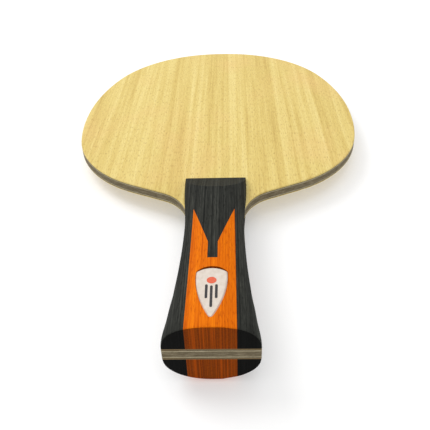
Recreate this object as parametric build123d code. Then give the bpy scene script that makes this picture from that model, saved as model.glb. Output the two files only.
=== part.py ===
from build123d import *
from build123d.topology import SkipClean
import math
import os

# A bare table tennis blade with a flared handle, drawn as it is glued up: seven plies pressed
# into one flat sheet, and on each side of its tang a handle scale of dyed wood strips.
#
# Drawing frame, millimetres: X across the blade, Y from the butt (0) to the tip, Z through the
# plies with 0 in the middle of the core. The front scale is on +Z. The finished pieces are
# moved along Y so that the origin is the middle of the blade's overall box.

# Overall sizes
BLADE_LENGTH = 257.0          # butt to tip
HEAD_WIDTH = 150.0            # across the widest part of the head
HANDLE_LENGTH = 100.0         # butt to the head end of the scales

# Thickness of each ply, from the middle outwards
CORE_THICKNESS = 2.7
INNER_PLY_THICKNESS = 0.5
FIBRE_THICKNESS = 0.25
FACE_VENEER_THICKNESS = 0.6

# Head outline: arcs that run into each other, and a straight cheek down to the neck
TIP_RADIUS = 97.0
SHOULDER_RADIUS = 67.5
SIDE_RADIUS = 127.5
WIDEST_FROM_TIP = 92.0        # where the upper arcs reach the full width
WIDEST_FROM_HANDLE = 63.0     # where the lower arcs reach it
CHEEK_RADIUS = 58.5
CHEEK_SLOPE = 24.5            # degrees, rise of the straight cheek away from the handle
CHEEK_CROSSING = 21.5         # how far behind the scales' head end the two cheeks would cross
NECK_RADIUS = 20.0
RUBBER_GAP = 2.0              # from the scales' head end to the edge of a glued rubber
FACE_EDGE_RADIUS = 0.5        # sanded edge of each face veneer round the head and neck

# Handle outline, half sizes
WAIST_HALF_WIDTH = 12.5
BUTT_HALF_WIDTH = 16.75
TOP_HALF_WIDTH = 14.2         # at the head end of the scales
WAIST_HALF_THICKNESS = 11.2
WAIST_Y = 61.5                # where the flare starts
BULGE_Y = 1.0                 # where the flare is widest
BULGE_RADIUS = 25.0           # the round that ends the flare
TOP_Y = 92.0                  # where the widening above the waist ends
BUTT_EDGE_RADIUS = 0.5

# The two scales are shaped by hand, so their crowns differ a little
FRONT_BUTT_HALF_THICKNESS = 13.6
BACK_BUTT_HALF_THICKNESS = 14.0
FRONT_CROWN_POWER = 2.4       # 2 is an ellipse, more is squarer
BACK_CROWN_POWER = 2.05

# Head end of the scales
BEVEL_SLOPE = 23.5            # degrees from the blade's face
BEVEL_EDGE = 0.5              # upright edge left below the bevel
TOP_CORNER_RADIUS = 1.6

# Strips of the scales
CENTRE_HALF_WIDTH = 8.6
HORN_TIP_Y = 67.2
YOKE_CORNER_Y = 44.2
STEM_HALF_WIDTH = 1.9
STEM_END_Y = 34.9

# Badge let into the front scale
BADGE_HALF_WIDTH = 5.6
BADGE_TIP_Y = 3.6             # where the sides would meet if the tip weren't rounded
BADGE_CORNER_Y = 27.4
BADGE_TOP_Y = 29.7
BADGE_SIDE_BULGE = 1.75
BADGE_CORNER_RADIUS = 1.5
BADGE_TIP_RADIUS = 0.8
BADGE_PLATE_THICKNESS = 1.15
BADGE_RIM_HEIGHT = 0.4
BADGE_RIM_WIDTH = 0.55
ADHESIVE_THICKNESS = 0.15
ADHESIVE_INSET = 0.5
BADGE_SINK = 0.3              # top of the plate below the crown of the scale
POCKET_CLEARANCE = 0.15

# Heights worked out from the plies
INNER_PLY_Z = CORE_THICKNESS / 2
FIBRE_Z = INNER_PLY_Z + INNER_PLY_THICKNESS
VENEER_Z = FIBRE_Z + FIBRE_THICKNESS
FACE_Z = VENEER_Z + FACE_VENEER_THICKNESS

# Places worked out along the blade
RUBBER_EDGE_Y = HANDLE_LENGTH + RUBBER_GAP
BADGE_MIDDLE_Y = (BADGE_TIP_Y + BADGE_TOP_Y) / 2

# Shaping aids, which leave no size of their own on the blade
CLEAR_OF_HANDLE = 30.0        # reach of a cutting shape past the handle, on every side
CUT_HEIGHT = max(FRONT_BUTT_HALF_THICKNESS, BACK_BUTT_HALF_THICKNESS) + CLEAR_OF_HANDLE
SKIRT = 1.5                   # how far the handle block runs into the plies before it is trimmed
PLAN_MARGIN = 0.3             # from the side of the scales to the outline that rounds their corners
SECTION_STEPS = 6             # steps from the side to the crown of a cross-section
FLARE_STEPS = 8               # cross-sections along the flare
WIDENING_STEPS = 4            # cross-sections along the widening above the waist


def touching_arc_centre(centre_a, radius_a, centre_b, radius_b, radius):
    """Centre of an arc that touches two larger arcs from inside, on the left of a to b."""
    reach_a = radius_a - radius
    reach_b = radius_b - radius
    gap = centre_b - centre_a
    along = (reach_a**2 - reach_b**2 + gap.length**2) / (2 * gap.length)
    across = math.sqrt(reach_a**2 - along**2)
    direction = gap.normalized()
    return centre_a + direction * along + Vector(-direction.Y, direction.X) * across


def touching_point(large_centre, large_radius, small_centre):
    """Point where a small arc touches a larger one from inside."""
    return large_centre + (small_centre - large_centre).normalized() * large_radius


def arc_run(start, direction, points):
    """Arcs from point to point, each one leaving in the direction in which the last arrived."""
    run = []
    for point in points:
        run.append(TangentArc(start, point, tangent=direction))
        start = run[-1] @ 1
        direction = run[-1] % 1
    return run


def upper_head_edges(half_width):
    """Tip, shoulder and side arcs of the right half, from the tip to the widest point."""
    widest_y = BLADE_LENGTH - WIDEST_FROM_TIP
    tip_centre = Vector(0, BLADE_LENGTH - TIP_RADIUS)
    side_centre = Vector(half_width - SIDE_RADIUS, widest_y)
    shoulder_centre = touching_arc_centre(
        side_centre, SIDE_RADIUS, tip_centre, TIP_RADIUS, SHOULDER_RADIUS)
    joints = [
        touching_point(tip_centre, TIP_RADIUS, shoulder_centre),
        touching_point(side_centre, SIDE_RADIUS, shoulder_centre),
        Vector(half_width, widest_y),
    ]
    return arc_run(Vector(0, BLADE_LENGTH), Vector(1, 0), joints)


def lower_head_edges(half_width):
    """Side arc, cheek arc, straight cheek and neck arc of the right half, down to the handle."""
    widest = Vector(half_width, HANDLE_LENGTH + WIDEST_FROM_HANDLE)
    side_centre = Vector(half_width - SIDE_RADIUS, widest.Y)
    slope = math.radians(CHEEK_SLOPE)
    outward = Vector(math.cos(slope), math.sin(slope))
    upward = Vector(-math.sin(slope), math.cos(slope))
    crossing = Vector(0, HANDLE_LENGTH - CHEEK_CROSSING)

    # The cheek arc touches the straight cheek and the side arc.
    start = crossing + upward * CHEEK_RADIUS - side_centre
    along = start.dot(outward)
    reach = SIDE_RADIUS - CHEEK_RADIUS
    travel = math.sqrt(along**2 - start.length**2 + reach**2) - along
    cheek_centre = crossing + upward * CHEEK_RADIUS + outward * travel
    arcs = arc_run(widest, Vector(0, -1), [
        touching_point(side_centre, SIDE_RADIUS, cheek_centre),
        cheek_centre - upward * CHEEK_RADIUS,
    ])

    # The neck arc touches the straight cheek and the side of the handle.
    neck_x = WAIST_HALF_WIDTH + NECK_RADIUS
    neck_travel = (neck_x + NECK_RADIUS * upward.X) / outward.X
    neck_start = crossing + outward * neck_travel
    neck_end = Vector(WAIST_HALF_WIDTH, neck_start.Y - NECK_RADIUS * upward.Y)
    cheek = Line(arcs[-1] @ 1, neck_start)
    return arcs + [cheek, TangentArc(neck_start, neck_end, tangent=outward * -1)]


def flare_arcs(waist, butt):
    """Radius of the hollow flare arc, and the height where it meets the round at the butt."""
    rise = butt - waist
    drop = WAIST_Y - BULGE_Y
    radius_sum = (drop**2 + rise**2) / (2 * rise)
    flare_radius = radius_sum - BULGE_RADIUS
    return flare_radius, WAIST_Y - drop * flare_radius / radius_sum


def flared_size(y, waist, butt):
    """Half size of the flared handle at y, the same above the waist."""
    if y >= WAIST_Y:
        return waist
    flare_radius, meeting_y = flare_arcs(waist, butt)
    if y >= meeting_y:
        return waist + flare_radius - math.sqrt(flare_radius**2 - (WAIST_Y - y)**2)
    return butt - BULGE_RADIUS + math.sqrt(BULGE_RADIUS**2 - (y - BULGE_Y)**2)


def handle_half_width(y):
    """Half width of a scale where it sits on the face veneer."""
    rise = min(max((y - WAIST_Y) / (TOP_Y - WAIST_Y), 0.0), 1.0)
    smooth_rise = rise * rise * (3 - 2 * rise)
    widening = (TOP_HALF_WIDTH - WAIST_HALF_WIDTH) * smooth_rise
    return flared_size(y, WAIST_HALF_WIDTH, BUTT_HALF_WIDTH) + widening


def crown_height(y, butt_half_thickness):
    """Height of a scale's crown above the middle of the core."""
    return flared_size(y, WAIST_HALF_THICKNESS, butt_half_thickness)


def tang_edges(neck_end):
    """Side of the tang on the right, from the neck arc to the middle of the butt."""
    meeting_y = flare_arcs(WAIST_HALF_WIDTH, BUTT_HALF_WIDTH)[1]
    waist = Vector(WAIST_HALF_WIDTH, WAIST_Y)
    butt_corner = Vector(handle_half_width(0), 0)
    joints = [Vector(handle_half_width(meeting_y), meeting_y), butt_corner]
    arcs = arc_run(waist, Vector(0, -1), joints)
    return [Line(neck_end, waist)] + arcs + [Line(butt_corner, Vector(0, 0))]


def blade_outline():
    """Flat outline shared by every ply: head, neck and tang."""
    half_width = HEAD_WIDTH / 2
    upper = upper_head_edges(half_width)
    lower = lower_head_edges(half_width)
    side = Line(upper[-1] @ 1, lower[0] @ 0)
    right = upper + [side] + lower + tang_edges(lower[-1] @ 1)
    left = [edge.mirror(Plane.YZ) for edge in right]
    outline = make_face(Curve() + right + left)
    butt_corners = [v for v in outline.vertices() if v.Y < 0.001 and abs(v.X) > 0.001]
    return fillet(butt_corners, BUTT_EDGE_RADIUS)


def ply(outline, low, high):
    """One flat ply between two heights."""
    return extrude(outline.moved(Location((0, 0, low))), amount=high - low)


def half_plane(y, side):
    """Plan of everything past y, towards the tip if side is 1 and the butt if it is -1."""
    reach = BLADE_LENGTH + HEAD_WIDTH
    return Pos(0, y + side * reach / 2) * Rectangle(2 * reach, reach)


def face_veneer(outline, low, high):
    """Outer ply, rounded round the head and neck, its face divided where a glued rubber ends."""
    neck_end_y = (lower_head_edges(HEAD_WIDTH / 2)[-1] @ 1).Y
    tang = ply(outline & half_plane(neck_end_y, -1), low, high)
    head = ply(outline & half_plane(neck_end_y, 1), low, high)
    top_edges = head.faces().sort_by(Axis.Z)[-1].edges().sort_by(Axis.Y)
    head = fillet(top_edges[1:], FACE_EDGE_RADIUS)
    rubber_part = head & ply(half_plane(RUBBER_EDGE_Y, 1), low, high)
    neck_part = head & ply(half_plane(RUBBER_EDGE_Y, -1), low, high)
    with SkipClean():
        return rubber_part + neck_part + tang


def crown_section(y, butt_half_thickness, power):
    """Cross-section of the handle block at y: upright sides under a squared oval crown."""
    half_width = handle_half_width(y)
    crown = crown_height(y, butt_half_thickness) - FACE_Z
    points = [Vector(half_width, y, FACE_Z - SKIRT)]
    for step in range(SECTION_STEPS + 1):
        angle = math.pi / 2 * step / SECTION_STEPS
        spread = math.cos(angle)**(2 / power) if step < SECTION_STEPS else 0.0
        rise = math.sin(angle)**(2 / power)
        points.append(Vector(half_width * spread, y, FACE_Z + crown * rise))
    right = Spline(*points, tangents=[(0, 0, 1), (-1, 0, 0)])
    left_points = [Vector(-point.X, point.Y, point.Z) for point in reversed(points)]
    left = Spline(*left_points, tangents=[(-1, 0, 0), (0, 0, -1)])
    return Face(Wire([right, left, Line(left @ 1, right @ 0)]))


def section_places():
    """Where the cross-sections stand, from the butt to past the head end of the scales."""
    round_end_y = flare_arcs(WAIST_HALF_WIDTH, BUTT_HALF_WIDTH)[1]
    places = [0, BULGE_Y, (BULGE_Y + round_end_y) / 2, round_end_y]
    for step in range(1, FLARE_STEPS + 1):
        places.append(round_end_y + (WAIST_Y - round_end_y) * step / FLARE_STEPS)
    for step in range(1, WIDENING_STEPS + 1):
        places.append(WAIST_Y + (TOP_Y - WAIST_Y) * step / WIDENING_STEPS)
    return places + [HANDLE_LENGTH, 2 * HANDLE_LENGTH - TOP_Y]


def handle_block(butt_half_thickness, power):
    """Scale on the front of the blade before it is divided into strips."""
    sections = [crown_section(y, butt_half_thickness, power) for y in section_places()]
    block = loft(sections)
    butt_face = block.faces().sort_by(Axis.Y)[0]
    crown_edges = [edge for edge in butt_face.edges() if edge.geom_type != GeomType.LINE]
    block = fillet(crown_edges, BUTT_EDGE_RADIUS)
    return block & face_side_box() & rounded_plan() - bevel_wedge()


def face_side_box():
    """Everything in front of the blade's face."""
    length = HANDLE_LENGTH + 2 * CLEAR_OF_HANDLE
    width = 2 * (BUTT_HALF_WIDTH + CLEAR_OF_HANDLE)
    centre = Pos(0, HANDLE_LENGTH / 2, FACE_Z + CUT_HEIGHT / 2)
    return centre * Box(width, length, CUT_HEIGHT)


def rounded_plan():
    """Plan of the scales with rounded corners at the head end."""
    length = HANDLE_LENGTH + CLEAR_OF_HANDLE
    wide = Pos(0, WAIST_Y - length / 2) * Rectangle(2 * (BUTT_HALF_WIDTH + CLEAR_OF_HANDLE), length)
    end = Pos(0, HANDLE_LENGTH / 2) * Rectangle(2 * (TOP_HALF_WIDTH + PLAN_MARGIN), HANDLE_LENGTH)
    top_corners = end.vertices().filter_by(lambda v: v.Y > HANDLE_LENGTH / 2)
    plan = wide + fillet(top_corners, TOP_CORNER_RADIUS)
    return extrude(plan, amount=CUT_HEIGHT)


def bevel_wedge():
    """Shape removed above the sloping head end of the scales."""
    reach = HANDLE_LENGTH
    rise = reach * math.tan(math.radians(BEVEL_SLOPE))
    edge_z = FACE_Z + BEVEL_EDGE
    side = Polygon(
        (HANDLE_LENGTH, edge_z),
        (HANDLE_LENGTH - reach, edge_z + rise),
        (HANDLE_LENGTH + reach, edge_z + rise),
        (HANDLE_LENGTH + reach, edge_z),
        align=None,
    )
    return extrude(Plane.YZ * side, amount=TOP_HALF_WIDTH + CLEAR_OF_HANDLE, both=True)


def yoke_plan():
    """Dark inlay between the horns of the centre strip, with a stem towards the butt."""
    end_y = HANDLE_LENGTH + CLEAR_OF_HANDLE
    right = [
        (STEM_HALF_WIDTH, STEM_END_Y),
        (STEM_HALF_WIDTH, YOKE_CORNER_Y),
        (CENTRE_HALF_WIDTH, HORN_TIP_Y),
        (CENTRE_HALF_WIDTH, end_y),
    ]
    left = [(-x, y) for x, y in reversed(right)]
    return Polygon(*right, *left, align=None)


def strip_plan(side):
    """Plan of everything outside the centre strip, on the side given as 1 or -1."""
    width = BUTT_HALF_WIDTH + CLEAR_OF_HANDLE
    length = HANDLE_LENGTH + 2 * CLEAR_OF_HANDLE
    centre = Pos(side * (CENTRE_HALF_WIDTH + width / 2), HANDLE_LENGTH / 2)
    return centre * Rectangle(width, length)


def through_scale(plan):
    """A plan shape run through the whole thickness of the scale."""
    return extrude(plan, amount=CUT_HEIGHT)


def scale_strips(block):
    """The four strips of one scale, keyed by what each one is."""
    yoke = through_scale(yoke_plan())
    left = through_scale(strip_plan(-1))
    right = through_scale(strip_plan(1))
    return {
        "left_strip": block & left,
        "right_strip": block & right,
        "yoke_inlay": block & yoke,
        "centre_strip": block - left - right - yoke,
    }


def grown(outline, margin):
    """A closed outline of tangent, outward-curved arcs, with each arc moved out by a margin."""
    arcs = []
    for edge in outline.edges():
        centre = edge.arc_center
        scale = (edge.radius + margin) / edge.radius
        points = [centre + (edge @ share - centre) * scale for share in (0, 0.5, 1)]
        arcs.append(ThreePointArc(*points))
    return make_face(Curve() + arcs)


def badge_plan(margin):
    """Shield with an arched head end and its point towards the butt, grown by a margin.

    Its middle along Y is at 0.
    """
    corner = Vector(BADGE_HALF_WIDTH, BADGE_CORNER_Y - BADGE_MIDDLE_Y)
    tip = Vector(0, BADGE_TIP_Y - BADGE_MIDDLE_Y)
    chord = tip - corner
    outward = Vector(-chord.Y, chord.X).normalized()
    side_middle = (corner + tip) * 0.5 + outward * BADGE_SIDE_BULGE
    mirrored_corner = Vector(-corner.X, corner.Y)
    mirrored_middle = Vector(-side_middle.X, side_middle.Y)
    top = Vector(0, BADGE_TOP_Y - BADGE_MIDDLE_Y)
    shield = make_face(Curve() + [
        ThreePointArc(mirrored_corner, top, corner),
        ThreePointArc(corner, side_middle, tip),
        ThreePointArc(tip, mirrored_middle, mirrored_corner),
    ])
    shoulders = shield.vertices().filter_by(lambda v: v.Y > 0)
    shield = fillet(shoulders, BADGE_CORNER_RADIUS)
    shield = fillet(shield.vertices().sort_by(Axis.Y)[0], BADGE_TIP_RADIUS)
    return grown(shield, margin)


def pocket_floor():
    """Plane of the pocket's floor, parallel to the crown line over the badge."""
    crown_at_tip = crown_height(BADGE_TIP_Y, FRONT_BUTT_HALF_THICKNESS)
    crown_at_top = crown_height(BADGE_TOP_Y, FRONT_BUTT_HALF_THICKNESS)
    slope = (crown_at_top - crown_at_tip) / (BADGE_TOP_Y - BADGE_TIP_Y)
    depth = BADGE_SINK + BADGE_PLATE_THICKNESS + ADHESIVE_THICKNESS
    height = crown_height(BADGE_MIDDLE_Y, FRONT_BUTT_HALF_THICKNESS) - depth
    return Plane((0, BADGE_MIDDLE_Y, height), x_dir=(1, 0, 0), z_dir=(0, -slope, 1))


def badge_pieces():
    """The pocket to cut, the adhesive pad on its floor and the plate on the pad."""
    floor = pocket_floor()
    pocket = extrude(floor * badge_plan(POCKET_CLEARANCE), amount=CLEAR_OF_HANDLE)
    pad = extrude(floor * badge_plan(-ADHESIVE_INSET), amount=ADHESIVE_THICKNESS)
    pad_top = floor.offset(ADHESIVE_THICKNESS)
    plate = extrude(pad_top * badge_plan(0), amount=BADGE_PLATE_THICKNESS)
    top_edges = plate.faces().sort_by(Axis.Z)[-1].edges()
    plate = chamfer(top_edges, length=BADGE_RIM_HEIGHT, length2=BADGE_RIM_WIDTH)
    return pocket, pad, plate


def write(name, piece):
    """Move a finished piece to the blade's own origin and write it as parts/NAME.step."""
    export_step(piece.moved(Location((0, -BLADE_LENGTH / 2, 0))), f"parts/{name}.step")


def main():
    os.makedirs("parts", exist_ok=True)

    outline = blade_outline()
    write("core_ply", ply(outline, -INNER_PLY_Z, INNER_PLY_Z))
    front_plies = {
        "inner_ply": ply(outline, INNER_PLY_Z, FIBRE_Z),
        "fibre_layer": ply(outline, FIBRE_Z, VENEER_Z),
        "face_veneer": face_veneer(outline, VENEER_Z, FACE_Z),
    }

    for layer, piece in front_plies.items():
        write(f"{layer}_front", piece)
        write(f"{layer}_back", piece.mirror(Plane.XY))

    back_strips = scale_strips(handle_block(BACK_BUTT_HALF_THICKNESS, BACK_CROWN_POWER))
    for strip, piece in back_strips.items():
        write(f"handle_{strip}_back", piece.mirror(Plane.XY))

    pocket, pad, plate = badge_pieces()
    front_strips = scale_strips(handle_block(FRONT_BUTT_HALF_THICKNESS, FRONT_CROWN_POWER))
    front_strips["centre_strip"] = front_strips["centre_strip"] - pocket
    for strip, piece in front_strips.items():
        write(f"handle_{strip}_front", piece)
    write("badge_adhesive", pad)
    write("badge_plate", plate)


main()
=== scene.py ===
"""Looks of the bare table tennis blade: woods, plies, badge print, studio floor, light and camera."""
import math

import bmesh
import bpy
from mathutils import Matrix, Vector


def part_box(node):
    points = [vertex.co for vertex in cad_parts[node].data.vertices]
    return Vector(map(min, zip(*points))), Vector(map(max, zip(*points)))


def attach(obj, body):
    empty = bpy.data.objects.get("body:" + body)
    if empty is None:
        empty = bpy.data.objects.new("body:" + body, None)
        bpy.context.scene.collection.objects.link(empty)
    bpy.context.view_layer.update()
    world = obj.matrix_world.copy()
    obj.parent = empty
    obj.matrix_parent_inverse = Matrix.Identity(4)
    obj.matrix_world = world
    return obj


MM = 0.001
WHITE = (1.0, 1.0, 1.0, 1.0)

# Sawn end of the handle, in the row frame, and how far its brown end grain and painted shade reach up
# the round
BUTT_Y = -128.5 * MM
END_GRAIN_AND_SHADE_FULL = 0.2 * MM
END_GRAIN_AND_SHADE_GONE = 0.5 * MM

# Floor: a pale table, lit a little from inside, just under the blade
FLOOR_SIZE = 6.0
FLOOR_CELLS = 8
FLOOR_GLOW = 0.30
FLOOR_GAP = 0.2 * MM

# Lights, in metres and watts, all aimed at the middle of the blade
LIGHT_TARGET = (0, 0, 0)
KEY_PLACE = (-0.85, 0.55, 1.10)
KEY_SIZE = 0.9
KEY_POWER = 10.0
TOP_PLACE = (0.0, 0.2, 1.5)
TOP_SIZE = 1.2
TOP_POWER = 4.0
ROOM_BRIGHTNESS = 0.8

# Camera, in the row frame: place in millimetres, view directions and lens
CAMERA_PLACE_MM = (7.7, -242.1, 146.6)
CAMERA_RIGHT = (0.99936, 0.01656, -0.03155)
CAMERA_UP = (0.01477, 0.61322, 0.78978)
CAMERA_LENS_MM = 45.32
SENSOR_MM = 36.0

# Badge print: a plain ball with three speed lines behind it, in millimetres on the plate
PRINT_FILM = 0.02
BALL_RADIUS = 1.75
BALL_UP = 5.6                 # from the plate's middle towards the head
LINE_WIDTH = 0.95
LINE_STARTS = (3.4, 2.8, 3.4)
LINE_LENGTHS = (7.0, 10.6, 7.0)
LINE_GAP = 1.75
CIRCLE_STEPS = 48
LINE_END_STEPS = 16


def srgb(red, green, blue):
    """Linear colour from 0-255 display values."""
    def linear(value):
        share = value / 255
        return share / 12.92 if share <= 0.04045 else ((share + 0.055) / 1.055) ** 2.4
    return (linear(red), linear(green), linear(blue), 1.0)


class Tree:
    """Short calls for building one material's nodes."""

    def __init__(self, name):
        self.material = bpy.data.materials.new(name)
        self.material.use_nodes = True
        self.nodes = self.material.node_tree.nodes
        self.links = self.material.node_tree.links
        self.shader = self.nodes["Principled BSDF"]
        self.coordinates = self.nodes.new("ShaderNodeTexCoord")

    def link(self, source, target):
        self.links.new(source, target)

    def set_or_link(self, socket, value):
        if isinstance(value, bpy.types.NodeSocket):
            self.link(value, socket)
        else:
            socket.default_value = value

    def stretched(self, scale, offset=(0.0, 0.0, 0.0)):
        """The row frame's coordinates in millimetres, scaled along each axis."""
        node = self.nodes.new("ShaderNodeMapping")
        node.inputs["Location"].default_value = offset
        node.inputs["Scale"].default_value = [part / MM for part in scale]
        self.link(self.coordinates.outputs["Object"], node.inputs["Vector"])
        return node.outputs["Vector"]

    def noise(self, vector, scale=1.0, detail=4.0, roughness=0.55, distortion=0.0):
        node = self.nodes.new("ShaderNodeTexNoise")
        node.inputs["Scale"].default_value = scale
        node.inputs["Detail"].default_value = detail
        node.inputs["Roughness"].default_value = roughness
        node.inputs["Distortion"].default_value = distortion
        self.link(vector, node.inputs["Vector"])
        return node.outputs["Fac"]

    def remap(self, value, low, high, to_low=0.0, to_high=1.0):
        node = self.nodes.new("ShaderNodeMapRange")
        node.inputs["From Min"].default_value = low
        node.inputs["From Max"].default_value = high
        node.inputs["To Min"].default_value = to_low
        node.inputs["To Max"].default_value = to_high
        self.link(value, node.inputs["Value"])
        return node.outputs["Result"]

    def math(self, operation, first, second=0.0):
        node = self.nodes.new("ShaderNodeMath")
        node.operation = operation
        self.set_or_link(node.inputs[0], first)
        self.set_or_link(node.inputs[1], second)
        return node.outputs["Value"]

    def mix(self, factor, first, second, blend="MIX"):
        node = self.nodes.new("ShaderNodeMix")
        node.data_type = "RGBA"
        node.blend_type = blend
        self.set_or_link(node.inputs["Factor"], factor)
        self.set_or_link(node.inputs["A"], first)
        self.set_or_link(node.inputs["B"], second)
        return node.outputs["Result"]

    def ramp(self, value, stops):
        node = self.nodes.new("ShaderNodeValToRGB")
        elements = node.color_ramp.elements
        while len(elements) < len(stops):
            elements.new(0.5)
        for element, (place, colour) in zip(elements, stops):
            element.position = place
            element.color = colour
        self.link(value, node.inputs["Fac"])
        return node.outputs["Color"]

    def facing_along(self, axis):
        """1 where the surface faces along a row axis, either way, and 0 across it."""
        split = self.nodes.new("ShaderNodeSeparateXYZ")
        self.link(self.coordinates.outputs["Normal"], split.inputs["Vector"])
        return self.math("ABSOLUTE", split.outputs[axis])

    def near_butt(self, low, high):
        """High on the sawn butt and on the small round that leads to it, low everywhere else."""
        split = self.nodes.new("ShaderNodeSeparateXYZ")
        self.link(self.coordinates.outputs["Object"], split.inputs["Vector"])
        gone = BUTT_Y + END_GRAIN_AND_SHADE_GONE
        full = BUTT_Y + END_GRAIN_AND_SHADE_FULL
        return self.remap(split.outputs["Y"], gone, full, low, high)

    def bump(self, height, distance_mm, strength=1.0):
        node = self.nodes.new("ShaderNodeBump")
        node.inputs["Strength"].default_value = strength
        node.inputs["Distance"].default_value = distance_mm * MM
        self.link(height, node.inputs["Height"])
        self.link(node.outputs["Normal"], self.shader.inputs["Normal"])

    def finish(self, colour, roughness):
        self.set_or_link(self.shader.inputs["Base Color"], colour)
        self.set_or_link(self.shader.inputs["Roughness"], roughness)
        return self.material


def face_veneer_material():
    """Pale yellow sliced veneer: broad soft bands, fine fibres and short pores along the blade."""
    tree = Tree("pale_face_veneer")
    bands = tree.noise(tree.stretched((0.24, 0.003, 0.24)), detail=4.0, roughness=0.62, distortion=0.15)
    fibres = tree.noise(tree.stretched((1.1, 0.02, 1.1), (11, 3, 5)), detail=4.0, roughness=0.7)
    dashes = tree.noise(tree.stretched((1.9, 0.22, 1.9), (4, 8, 6)), detail=3.0, roughness=0.6)
    patches = tree.noise(tree.stretched((0.03, 0.02, 0.03), (3, 1, 8)), detail=3.0)
    pores = tree.noise(tree.stretched((2.6, 0.40, 2.6), (2, 7, 1)), detail=2.0, roughness=0.5)

    broad = tree.math("ADD", tree.math("MULTIPLY", bands, 0.50), tree.math("MULTIPLY", fibres, 0.30))
    grain = tree.math("ADD", broad, tree.math("MULTIPLY", dashes, 0.20))
    colour = tree.ramp(grain, [
        (0.36, srgb(188, 158, 82)),
        (0.46, srgb(208, 183, 104)),
        (0.54, srgb(217, 195, 119)),
        (0.66, srgb(228, 210, 140)),
    ])
    warm = tree.remap(patches, 0.50, 0.72, 0.0, 0.35)
    colour = tree.mix(warm, colour, srgb(222, 182, 118))
    pore_mask = tree.remap(pores, 0.56, 0.68, 0.0, 0.55)
    colour = tree.mix(pore_mask, colour, srgb(158, 122, 60))
    # Brown end grain of the veneer at the sawn butt, made darker still as painted shade on the butt,
    # which faces away from the light
    colour = tree.mix(tree.near_butt(0.0, 0.9), colour, srgb(92, 72, 48))
    height = tree.math("SUBTRACT", fibres, tree.math("MULTIPLY", pore_mask, 1.2))
    tree.bump(height, 0.05, 0.45)
    tree.shader.inputs["Specular IOR Level"].default_value = 0.3
    return tree.finish(colour, tree.remap(fibres, 0.3, 0.7, 0.56, 0.68))


def edge_wood_material(name, stops, pore_colour):
    """Sanded edge of a ply: short layered streaks along the rim, with open pores."""
    tree = Tree(name)
    streaks = tree.noise(tree.stretched((0.30, 0.30, 3.4)), detail=5.0, roughness=0.65)
    pores = tree.noise(tree.stretched((1.6, 1.6, 5.0), (4, 2, 9)), detail=3.0, roughness=0.6)
    colour = tree.ramp(streaks, stops)
    pore_mask = tree.remap(pores, 0.54, 0.68, 0.0, 0.6)
    colour = tree.mix(pore_mask, colour, pore_colour)
    tree.bump(tree.math("SUBTRACT", streaks, pore_mask), 0.12, 0.6)
    tree.shader.inputs["Specular IOR Level"].default_value = 0.2
    return tree.finish(colour, 0.78)


def core_material():
    """Porous grey-brown core wood."""
    stops = [
        (0.32, srgb(84, 74, 54)),
        (0.50, srgb(112, 101, 78)),
        (0.68, srgb(142, 131, 106)),
    ]
    return edge_wood_material("core_edge", stops, srgb(74, 62, 42))


def inner_ply_material():
    """Pale cross ply, a light line round the rim."""
    stops = [
        (0.32, srgb(138, 127, 100)),
        (0.50, srgb(163, 152, 124)),
        (0.68, srgb(184, 174, 146)),
    ]
    return edge_wood_material("inner_ply_edge", stops, srgb(112, 100, 76))


def fibre_material():
    """Dark fibre cloth in glue, with pale thread ends, seen as a thin line in the rim."""
    stops = [
        (0.35, srgb(42, 38, 26)),
        (0.55, srgb(60, 54, 38)),
        (0.72, srgb(104, 94, 66)),
    ]
    return edge_wood_material("fibre_edge", stops, srgb(32, 28, 20))


def dyed_wood_material(name, stops, fleck_colour, end_grain_stain_and_shade):
    """Dyed wood sliced into thin leaves and glued up, so its grain runs straight along the handle."""
    tree = Tree(name)
    leaves = tree.noise(tree.stretched((2.00, 0.006, 0.02)), detail=2.0, roughness=0.6)
    fibres = tree.noise(tree.stretched((2.8, 0.10, 1.6), (7, 2, 4)), detail=3.0, roughness=0.6)
    tone = tree.noise(tree.stretched((0.12, 0.03, 0.12), (1, 5, 3)), detail=3.0)
    flecks = tree.noise(tree.stretched((2.6, 0.30, 2.6), (9, 1, 6)), detail=2.0, roughness=0.55)

    fine = tree.math("ADD", tree.math("MULTIPLY", leaves, 0.50), tree.math("MULTIPLY", fibres, 0.40))
    grain = tree.math("ADD", fine, tree.math("MULTIPLY", tone, 0.10))
    colour = tree.ramp(grain, stops)
    fleck_mask = tree.remap(flecks, 0.56, 0.68, 0.0, 0.60)
    colour = tree.mix(fleck_mask, colour, fleck_colour)
    # End grain on faces that look along the handle: real darker end grain, multiplied down further as
    # painted shade for the butt, which faces away from the light
    end_grain_and_shade = tree.remap(tree.facing_along("Y"), 0.75, 0.95)
    colour = tree.mix(end_grain_and_shade, colour, end_grain_stain_and_shade, "MULTIPLY")
    leaf_lines = tree.math("MULTIPLY", end_grain_and_shade, tree.remap(leaves, 0.50, 0.66, 0.0, 0.75))
    colour = tree.mix(leaf_lines, colour, fleck_colour)
    height = tree.math("SUBTRACT", grain, tree.math("MULTIPLY", fleck_mask, 0.6))
    tree.bump(height, 0.08, 0.6)
    tree.shader.inputs["Specular IOR Level"].default_value = 0.05
    return tree.finish(colour, tree.remap(fibres, 0.3, 0.7, 0.62, 0.76))


def orange_wood_material():
    """Orange leaves of the centre strip."""
    stops = [
        (0.36, srgb(182, 80, 0)),
        (0.46, srgb(206, 98, 2)),
        (0.54, srgb(217, 108, 4)),
        (0.64, srgb(230, 124, 12)),
    ]
    # The last colour multiplies the butt's end grain: real end-grain darkening and painted shade
    # together
    return dyed_wood_material("orange_dyed_wood", stops, srgb(166, 68, 0), srgb(148, 142, 150))


def dark_wood_material():
    """Charcoal leaves of the side strips and the yoke inlay."""
    stops = [
        (0.36, srgb(23, 24, 22)),
        (0.46, srgb(38, 39, 36)),
        (0.54, srgb(47, 48, 44)),
        (0.64, srgb(66, 67, 62)),
    ]
    # The last colour multiplies the butt's end grain: real end-grain darkening and painted shade
    # together
    return dyed_wood_material("charcoal_dyed_wood", stops, srgb(14, 14, 13), srgb(100, 100, 100))


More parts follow.
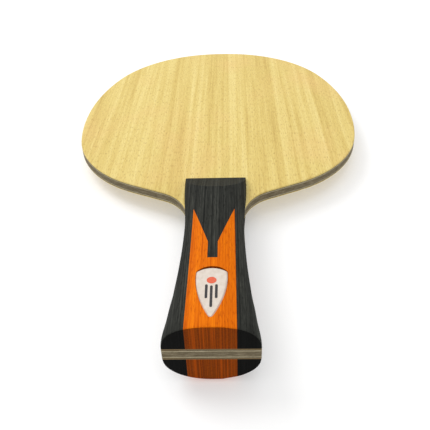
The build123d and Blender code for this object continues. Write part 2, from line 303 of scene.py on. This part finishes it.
def badge_material():
    """Off-white moulded plastic with a faint pearl mottle and fine handling marks."""
    tree = Tree("badge_plastic")
    mottle = tree.noise(tree.stretched((0.7, 0.5, 0.7)), detail=4.0, roughness=0.6)
    colour = tree.ramp(mottle, [
        (0.35, srgb(203, 190, 176)),
        (0.50, srgb(209, 197, 184)),
        (0.65, srgb(214, 203, 191)),
    ])
    marks = tree.noise(tree.stretched((6.0, 0.8, 6.0), (2, 2, 2)), detail=2.0)
    tree.bump(marks, 0.01, 0.3)
    tree.shader.inputs["Coat Weight"].default_value = 0.25
    tree.shader.inputs["Coat Roughness"].default_value = 0.15
    return tree.finish(colour, tree.remap(marks, 0.35, 0.65, 0.30, 0.40))


def adhesive_material():
    """Cloudy adhesive film under the badge."""
    tree = Tree("adhesive_film")
    cloud = tree.noise(tree.stretched((0.8, 0.8, 0.8)), detail=3.0)
    colour = tree.ramp(cloud, [(0.35, srgb(186, 182, 170)), (0.65, srgb(206, 202, 192))])
    return tree.finish(colour, 0.6)


def ink_material(name, colour, worn):
    """Printed ink: nearly even, thinner where the print is worn."""
    tree = Tree(name)
    wear = tree.noise(tree.stretched((2.5, 2.5, 2.5)), detail=4.0, roughness=0.7)
    shade = tree.mix(tree.remap(wear, 0.50, 0.72, 0.0, 0.45), colour, worn)
    tree.bump(wear, 0.004, 0.3)
    return tree.finish(shade, 0.38)


def floor_material():
    """Pale lit studio table with the faintest unevenness."""
    tree = Tree("studio_floor")
    cloud = tree.noise(tree.stretched((0.004, 0.004, 0.004)), detail=2.0)
    colour = tree.ramp(cloud, [(0.3, (0.68, 0.68, 0.68, 1.0)), (0.7, (0.70, 0.70, 0.70, 1.0))])
    tree.shader.inputs["Specular IOR Level"].default_value = 0.1
    tree.shader.inputs["Emission Color"].default_value = WHITE
    tree.shader.inputs["Emission Strength"].default_value = FLOOR_GLOW
    return tree.finish(colour, 0.9)


def dress_nodes(nodes):
    """Give every CAD node its material."""
    face = face_veneer_material()
    inner = inner_ply_material()
    fibre = fibre_material()
    dark = dark_wood_material()
    orange = orange_wood_material()
    materials = {
        "core_ply": core_material(),
        "badge_plate": badge_material(),
        "badge_adhesive": adhesive_material(),
    }
    for side in ("front", "back"):
        materials[f"face_veneer_{side}"] = face
        materials[f"inner_ply_{side}"] = inner
        materials[f"fibre_layer_{side}"] = fibre
        materials[f"handle_centre_strip_{side}"] = orange
        for strip in ("left_strip", "right_strip", "yoke_inlay"):
            materials[f"handle_{strip}_{side}"] = dark
    for name, piece in nodes.items():
        piece.data.materials.clear()
        piece.data.materials.append(materials[name])


def plate_frame():
    """Matrix from millimetres on the badge plate's top, its middle at 0, to the row frame."""
    low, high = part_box("badge_plate")
    plate = bpy.data.objects["badge_plate"].data
    top = [face for face in plate.polygons if face.normal.z > 0.99]
    area = sum(face.area for face in top)
    normal = sum((face.normal * face.area for face in top), Vector()) / area
    centre = sum((face.center * face.area for face in top), Vector()) / area
    across = Vector((1, 0, 0))
    along = normal.cross(across).normalized()
    middle_y = (low.y + high.y) / 2
    origin = centre + along * ((middle_y - centre.y) / along.y)
    origin.x = 0
    axes = Matrix((across, along, normal)).transposed().to_4x4()
    return Matrix.Translation(origin) @ axes @ Matrix.Scale(MM, 4)


def film(name, outlines, place, material):
    """Thin printed film: closed outlines in millimetres, filled and given the film's thickness."""
    mesh_data = bmesh.new()
    for outline in outlines:
        bottom = [mesh_data.verts.new((x, y, -PRINT_FILM)) for x, y in outline]
        top = [mesh_data.verts.new((x, y, PRINT_FILM)) for x, y in outline]
        mesh_data.faces.new(top)
        mesh_data.faces.new(list(reversed(bottom)))
        for index, vertex in enumerate(bottom):
            following = (index + 1) % len(bottom)
            mesh_data.faces.new((vertex, bottom[following], top[following], top[index]))
    mesh = bpy.data.meshes.new(name)
    mesh_data.to_mesh(mesh)
    mesh_data.free()
    mesh.transform(place)
    piece = bpy.data.objects.new(name, mesh)
    bpy.context.scene.collection.objects.link(piece)
    piece.data.materials.append(material)
    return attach(piece, "root")


def circle(x, y, radius, start=0.0, turn=360.0, steps=CIRCLE_STEPS):
    """Points round an arc, angles in degrees."""
    angles = [math.radians(start + turn * step / steps) for step in range(steps)]
    return [(x + radius * math.cos(angle), y + radius * math.sin(angle)) for angle in angles]


def speed_line(x, start, length):
    """Round-ended bar running from start towards the butt."""
    radius = LINE_WIDTH / 2
    upper = circle(x, start - radius, radius, 0.0, 180.0, LINE_END_STEPS)
    lower = circle(x, start - length + radius, radius, 180.0, 180.0, LINE_END_STEPS)
    return upper + lower


def print_badge():
    """A generic sports mark in two inks on the badge plate."""
    place = plate_frame()
    orange_ink = ink_material("orange_ink", srgb(214, 88, 52), srgb(226, 140, 112))
    black_ink = ink_material("black_ink", srgb(34, 32, 34), srgb(92, 86, 86))
    film("badge_print_ball", [circle(0, BALL_UP, BALL_RADIUS)], place, orange_ink)
    lines = []
    for index, (start, length) in enumerate(zip(LINE_STARTS, LINE_LENGTHS)):
        lines.append(speed_line((index - 1) * LINE_GAP, start, length))
    film("badge_print_lines", lines, place, black_ink)


def lay_floor(nodes):
    """The blade lies on the back of its handle and the far edge of its head, so the floor slopes."""
    head_low, head_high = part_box("face_veneer_back")
    rises = []
    for name, piece in nodes.items():
        if name.startswith("handle") and name.endswith("back"):
            rises += [
                (head_low.z - vertex.co.z) / (head_high.y - vertex.co.y)
                for vertex in piece.data.vertices
            ]
    bpy.ops.mesh.primitive_grid_add(
        x_subdivisions=FLOOR_CELLS, y_subdivisions=FLOOR_CELLS, size=FLOOR_SIZE)
    floor = bpy.context.object
    floor.name = "studio_floor"
    floor.rotation_euler = (math.atan(max(rises)), 0, 0)
    floor.location = (0, head_high.y, head_low.z - FLOOR_GAP)
    floor.data.materials.append(floor_material())


def area_light(name, place, size, power):
    """Round soft light at a place, aimed at the blade."""
    light = bpy.data.lights.new(name, "AREA")
    light.shape = "DISK"
    light.size = size
    light.energy = power
    lamp = bpy.data.objects.new(name, light)
    lamp.location = place
    direction = Vector(LIGHT_TARGET) - Vector(place)
    lamp.rotation_euler = direction.to_track_quat("-Z", "Y").to_euler()
    bpy.context.scene.collection.objects.link(lamp)


def light_studio():
    """One large soft light behind and to the left, a weaker one overhead, and a pale room."""
    area_light("key_softbox", KEY_PLACE, KEY_SIZE, KEY_POWER)
    area_light("top_softbox", TOP_PLACE, TOP_SIZE, TOP_POWER)
    world = bpy.data.worlds.new("pale_room")
    world.use_nodes = True
    background = world.node_tree.nodes["Background"]
    background.inputs["Color"].default_value = WHITE
    background.inputs["Strength"].default_value = ROOM_BRIGHTNESS
    bpy.context.scene.world = world
    bpy.context.scene.view_settings.view_transform = "Standard"


def place_camera():
    """Camera beyond the butt, looking down and along the blade."""
    right = Vector(CAMERA_RIGHT).normalized()
    up = Vector(CAMERA_UP).normalized()
    backward = right.cross(up)
    camera = bpy.data.cameras.new("camera")
    camera.lens = CAMERA_LENS_MM
    camera.sensor_width = SENSOR_MM
    camera.clip_start = 0.01
    rig = bpy.data.objects.new("camera", camera)
    axes = Matrix((right, up, backward)).transposed().to_4x4()
    rig.matrix_world = Matrix.Translation(Vector(CAMERA_PLACE_MM) * MM) @ axes
    bpy.context.scene.collection.objects.link(rig)
    bpy.context.scene.camera = rig


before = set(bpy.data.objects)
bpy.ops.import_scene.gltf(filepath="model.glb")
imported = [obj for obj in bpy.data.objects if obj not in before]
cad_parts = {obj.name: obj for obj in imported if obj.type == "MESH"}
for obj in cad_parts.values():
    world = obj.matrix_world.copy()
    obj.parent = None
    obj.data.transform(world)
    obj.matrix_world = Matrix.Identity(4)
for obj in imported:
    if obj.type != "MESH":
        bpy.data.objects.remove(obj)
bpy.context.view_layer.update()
place_camera()
dress_nodes(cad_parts)
print_badge()
lay_floor(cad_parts)
light_studio()
